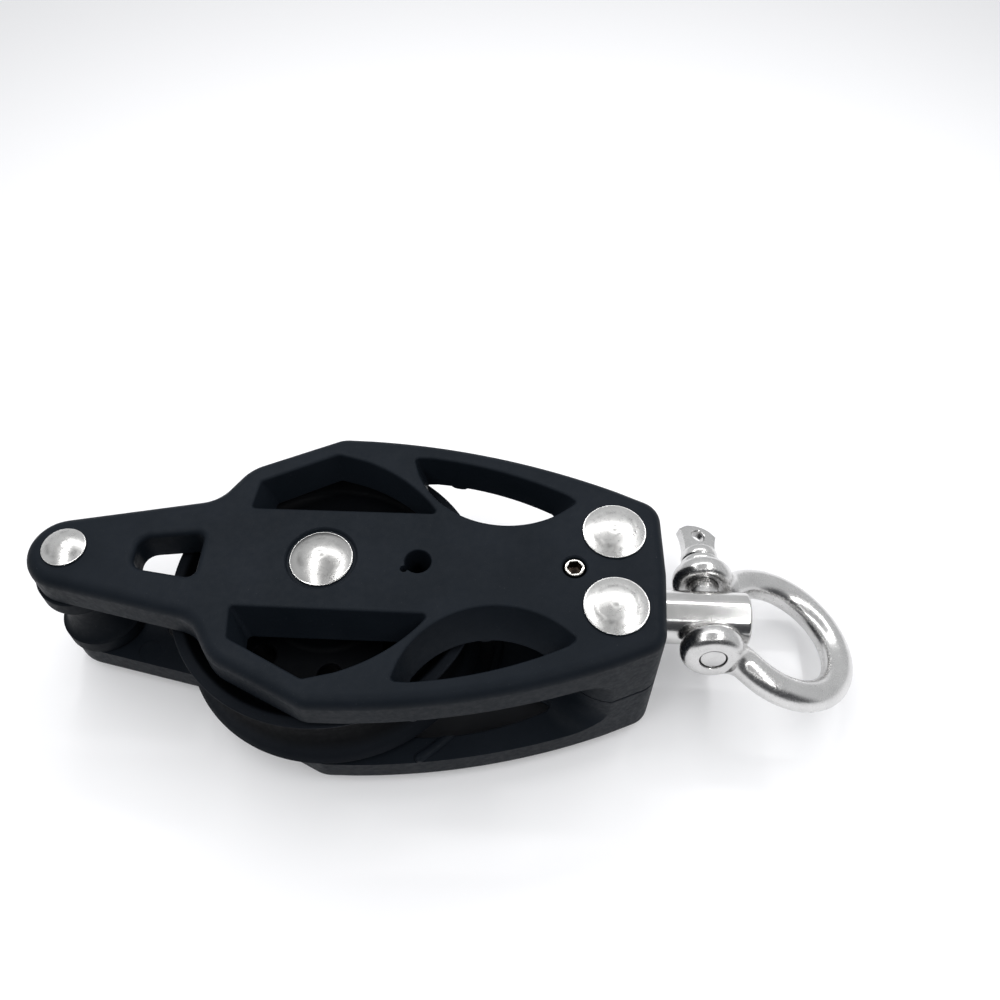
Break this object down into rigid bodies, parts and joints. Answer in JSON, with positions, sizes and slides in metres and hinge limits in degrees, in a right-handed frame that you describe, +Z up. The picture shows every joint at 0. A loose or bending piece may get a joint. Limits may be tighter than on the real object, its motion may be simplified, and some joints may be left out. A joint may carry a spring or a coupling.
{
  "type": "single sheave block",
  "caption": "Single sheave rope block: moulded cheeks around a grooved sheave, a becket spool at one end and a lockable swivel head with a bow shackle at the other.",
  "frame": {"origin": "middle of the object's box, on the surface that the block lies on", "axes": "+X from the becket to the shackle, +Y across the cheeks towards the shackle pin's tab, +Z up along the sheave's axis"},
  "size_m": [0.1626, 0.06, 0.038],
  "materials": {
    "cheek_nylon": "fine-grained black moulded glass-filled nylon",
    "sheave_nylon": "smooth black moulded nylon",
    "spool_nylon": "smooth black moulded nylon",
    "bearing_acetal": "natural white acetal",
    "rivet_steel": "satin stainless steel with upset marks on the heads",
    "turned_steel": "fine turned stainless steel",
    "polished_steel": "polished stainless steel"
  },
  "bodies": {
    "frame": {"cheek_upper": "cheek_nylon", "cheek_lower": "cheek_nylon", "axle_sleeve": "rivet_steel", "axle_washer_upper": "bearing_acetal", "axle_washer_lower": "bearing_acetal", "axle_rivet": "rivet_steel", "head_rivet_near": "rivet_steel", "head_rivet_far": "rivet_steel", "becket_rivet": "rivet_steel"},
    "sheave": {"sheave": "sheave_nylon", "sheave_bush": "bearing_acetal"},
    "becket": {"becket_spool": "spool_nylon"},
    "lock_screw": {"swivel_lock_screw": "turned_steel"},
    "swivel": {"swivel_post": "turned_steel"},
    "shackle": {"shackle_bow": "polished_steel"},
    "pin": {"shackle_pin": "polished_steel"}
  },
  "joints": [
    {"name": "sheave_spin", "type": "hinge", "parent": "frame", "child": "sheave", "pos_m": [-0.02488, 0, 0.019], "axis": [0, 0, 1], "continuous": true},
    {"name": "becket_spin", "type": "hinge", "parent": "frame", "child": "becket", "pos_m": [-0.07328, 0, 0.019], "axis": [0, 0, 1], "continuous": true},
    {"name": "swivel_turn", "type": "hinge", "parent": "frame", "child": "swivel", "pos_m": [0.04992, 0, 0.019], "axis": [1, 0, 0], "continuous": true},
    {"name": "lock_screw_travel", "type": "slide", "parent": "frame", "child": "lock_screw", "axis": [0, 0, -1], "range_m": [0, 0.0014]},
    {"name": "shackle_swing", "type": "hinge", "parent": "swivel", "child": "shackle", "pos_m": [0.04992, 0.00098, 0.01881], "axis": [0, 0.9826, -0.1857], "range_deg": [-125, 75]},
    {"name": "pin_withdraw", "type": "slide", "parent": "shackle", "child": "pin", "axis": [0, 0.9826, -0.1857], "range_m": [0, 0.0215]}
  ]
}
